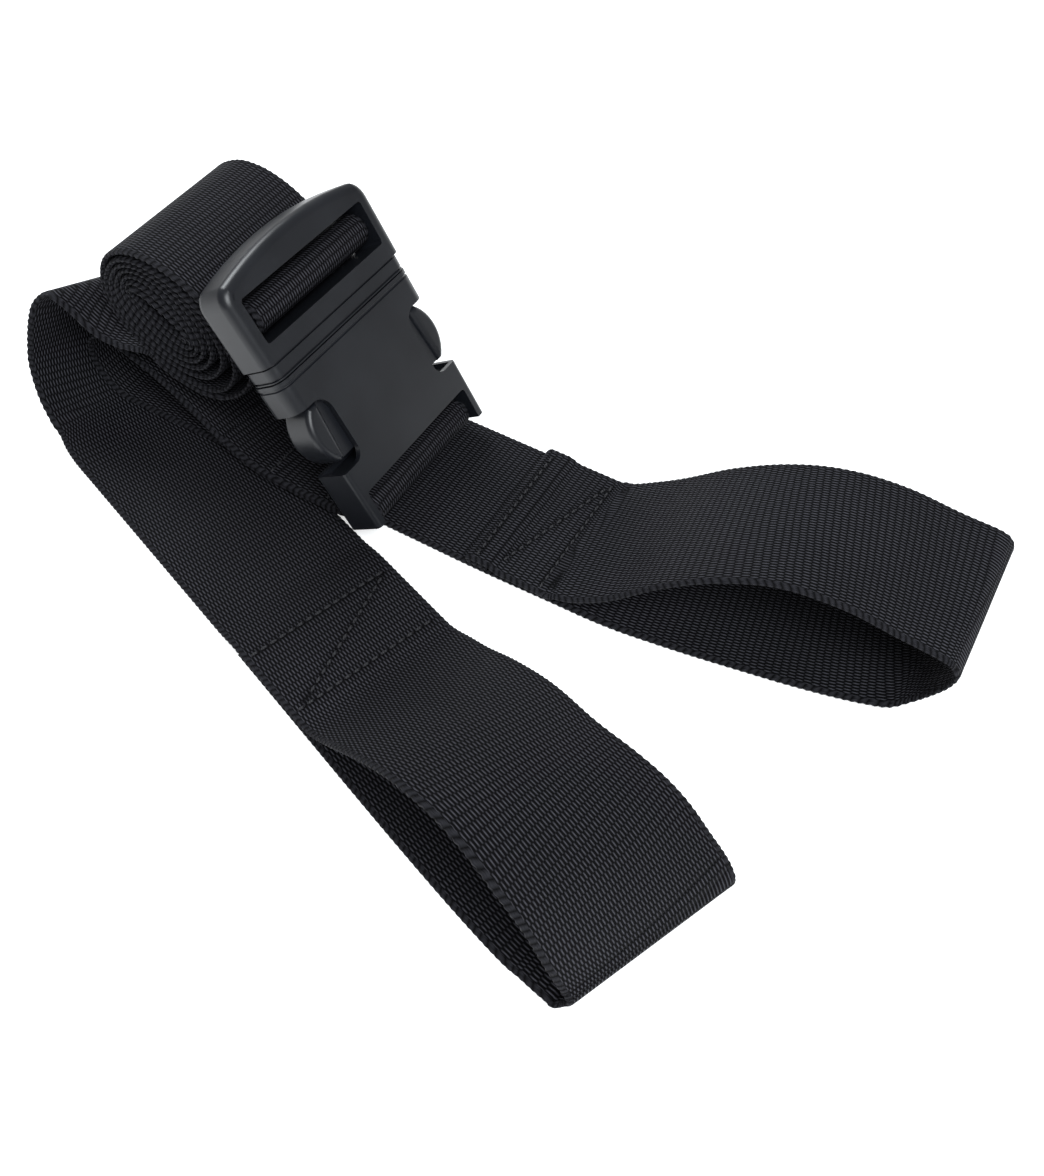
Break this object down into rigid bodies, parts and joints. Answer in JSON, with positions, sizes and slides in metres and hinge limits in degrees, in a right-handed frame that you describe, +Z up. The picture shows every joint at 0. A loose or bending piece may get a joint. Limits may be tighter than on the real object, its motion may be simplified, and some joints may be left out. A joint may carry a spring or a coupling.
{
  "type": "luggage strap",
  "caption": "Webbing luggage strap with a sewn loop at each end, closed by a plastic side-release buckle, its spare length rolled up under the buckle.",
  "frame": {"origin": "on the surface the strap lies on, under the middle of the fixed strap beside the buckle", "axes": "+X along the fixed strap, from its bend to its sewn loop; +Y across it, to the side away from the adjustable strap; +Z up"},
  "size_m": [0.2835, 0.1674, 0.0804],
  "materials": {
    "webbing": "black woven webbing with fine rows across its width",
    "buckle": "charcoal moulded plastic, satin",
    "thread": "black bonded sewing thread"
  },
  "bodies": {
    "root": {"adjust_strap_loop": "webbing", "adjust_strap_floor_run": "webbing", "adjust_strap_outer_bend": "webbing", "fixed_strap_loop": "webbing", "fixed_strap_floor_run": "webbing", "fixed_strap_inner_bend": "webbing", "fixed_strap_return_run": "webbing", "fixed_strap_sewn_end": "webbing", "adjust_loop_stitching": "thread", "fixed_loop_stitching": "thread", "fixed_bar_stitching": "thread", "fixed_strap_bar_wrap": "webbing"},
    "female": {"female_body": "buckle", "adjust_strap_upper_run": "webbing"},
    "male": {"male_frame": "buckle", "adjust_strap_bar_wrap": "webbing", "adjust_strap_tail_lead": "webbing", "adjust_strap_tail_roll": "webbing", "adjust_strap_load_lead": "webbing"},
    "arm_near": {"male_arm_near": "buckle"},
    "arm_far": {"male_arm_far": "buckle"}
  },
  "joints": [
    {"name": "buckle_swing", "type": "hinge", "parent": "root", "child": "female", "pos_m": [-0.0148, -0.0056, 0.0108], "axis": [-0.0126, 0.9988, -0.0468], "range_deg": [0, 25], "deforming": ["adjust_strap_upper_run"]},
    {"name": "buckle_release", "type": "slide", "parent": "female", "child": "male", "axis": [-0.5363, 0.0328, 0.8434], "range_m": [0, 0.032], "deforming": ["adjust_strap_load_lead", "male_arm_near", "male_arm_far"]},
    {"name": "arm_near_squeeze", "type": "hinge", "parent": "male", "child": "arm_near", "pos_m": [-0.03775, -0.02116, 0.04803], "axis": [0.8439, 0.0357, 0.5353], "range_deg": [0, 9], "stiffness_Nm_per_rad": 0.3},
    {"name": "arm_far_squeeze", "type": "hinge", "parent": "male", "child": "arm_far", "pos_m": [-0.03818, 0.0128, 0.04644], "axis": [0.8439, 0.0357, 0.5353], "range_deg": [-9, 0], "stiffness_Nm_per_rad": 0.3}
  ],
  "couplings": [
    {"joint": "arm_far_squeeze", "follows": "arm_near_squeeze", "ratio": -1}
  ]
}
